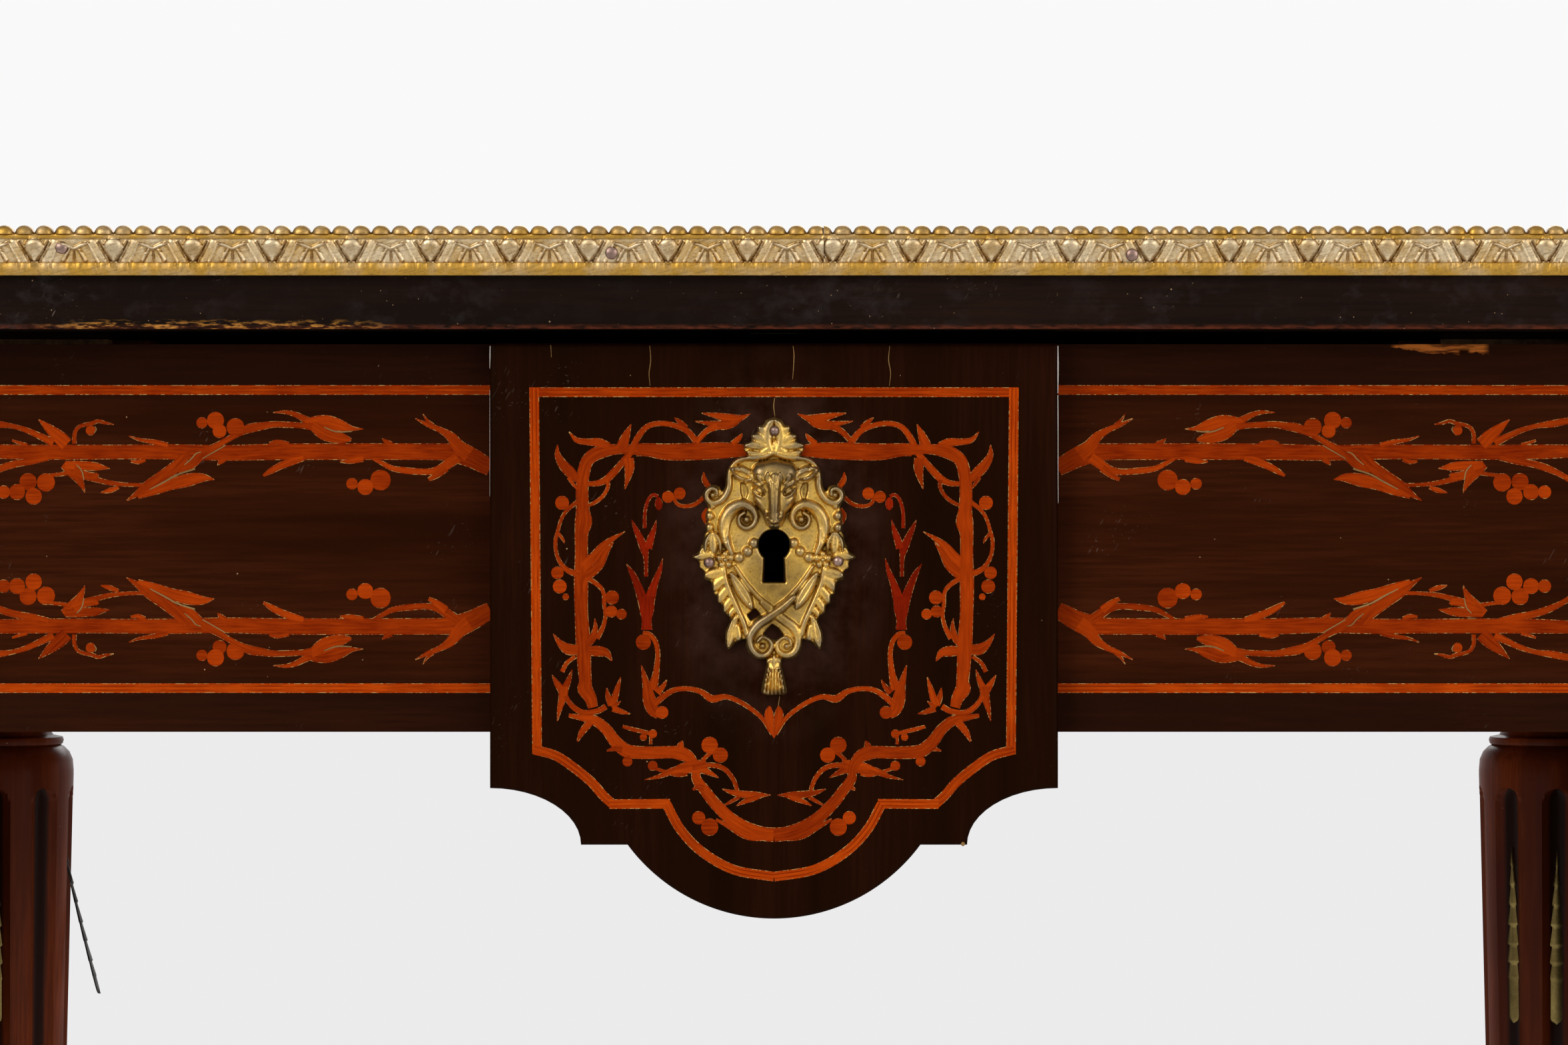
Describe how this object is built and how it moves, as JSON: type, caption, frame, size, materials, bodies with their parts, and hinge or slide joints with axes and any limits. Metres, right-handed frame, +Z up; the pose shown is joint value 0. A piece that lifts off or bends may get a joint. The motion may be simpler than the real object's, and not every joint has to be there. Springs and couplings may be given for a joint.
{
  "type": "drop-leaf side table",
  "caption": "Dark inlaid side table on turned fluted legs, with a frieze drawer behind a shield plaque and a hanging leaf on rule-jointed hinges at each end.",
  "frame": {"origin": "on the floor under the middle of the table with its leaves hanging", "axes": "+X to the right of someone facing the drawer, +Y from the drawer to the back, +Z up"},
  "size_m": [0.7224, 0.5376, 0.745],
  "materials": {
    "ebonised_veneer": "french polished dark veneer with inlay",
    "rosewood": "polished reddish hardwood",
    "oak_lining": "planed, unpolished",
    "gilt_bronze": "cast and worn gilding",
    "old_brass": "aged brass",
    "lock_steel": "filed steel"
  },
  "bodies": {
    "carcass": {"leg_front_left": "rosewood", "leg_front_right": "rosewood", "leg_rear_left": "rosewood", "leg_rear_right": "rosewood", "sabot_front_left": "old_brass", "sabot_front_right": "old_brass", "sabot_rear_left": "old_brass", "sabot_rear_right": "old_brass", "end_apron_left": "ebonised_veneer", "end_apron_right": "ebonised_veneer", "rear_apron": "ebonised_veneer", "front_rail": "ebonised_veneer", "drawer_runner_left": "oak_lining", "drawer_guide_left": "oak_lining", "drawer_runner_right": "oak_lining", "drawer_guide_right": "oak_lining", "loper_front_left": "rosewood", "loper_guide_front_left": "oak_lining", "loper_front_right": "rosewood", "loper_guide_front_right": "oak_lining", "loper_rear_left": "rosewood", "loper_guide_rear_left": "oak_lining", "loper_rear_right": "rosewood", "loper_guide_rear_right": "oak_lining", "top": "ebonised_veneer", "strike_plate": "old_brass", "top_moulding_front_left": "gilt_bronze", "top_moulding_front_right": "gilt_bronze", "top_moulding_rear": "gilt_bronze", "hinge_short_flap_front_left": "old_brass", "hinge_pin_front_left": "old_brass", "hinge_short_flap_front_right": "old_brass", "hinge_pin_front_right": "old_brass", "hinge_short_flap_rear_left": "old_brass", "hinge_pin_rear_left": "old_brass", "hinge_short_flap_rear_right": "old_brass", "hinge_pin_rear_right": "old_brass"},
    "left_leaf": {"leaf_left": "ebonised_veneer", "leaf_moulding_front_left": "gilt_bronze", "leaf_moulding_outer_left": "gilt_bronze", "leaf_moulding_rear_left": "gilt_bronze", "hinge_long_flap_front_left": "old_brass", "hinge_long_flap_rear_left": "old_brass"},
    "right_leaf": {"leaf_right": "ebonised_veneer", "leaf_moulding_front_right": "gilt_bronze", "leaf_moulding_outer_right": "gilt_bronze", "leaf_moulding_rear_right": "gilt_bronze", "hinge_long_flap_front_right": "old_brass", "hinge_long_flap_rear_right": "old_brass"},
    "drawer": {"drawer_front": "ebonised_veneer", "plaque": "ebonised_veneer", "escutcheon": "gilt_bronze", "drawer_side_left": "oak_lining", "drawer_side_right": "oak_lining", "drawer_back": "oak_lining", "drawer_bottom": "oak_lining", "lock_case": "old_brass"},
    "bolt": {"lock_bolt": "lock_steel"}
  },
  "joints": [
    {"name": "drawer_slide", "type": "slide", "parent": "carcass", "child": "drawer", "axis": [0, -1, 0], "range_m": [0, 0.3]},
    {"name": "left_leaf_hinge", "type": "hinge", "parent": "carcass", "child": "left_leaf", "pos_m": [-0.335, 0, 0.7188], "axis": [0, 1, 0], "range_deg": [0, 90]},
    {"name": "right_leaf_hinge", "type": "hinge", "parent": "carcass", "child": "right_leaf", "pos_m": [0.335, 0, 0.7188], "axis": [0, -1, 0], "range_deg": [0, 90]},
    {"name": "bolt_slide", "type": "slide", "parent": "drawer", "child": "bolt", "axis": [0, 0, 1], "range_m": [0, 0.009]}
  ]
}
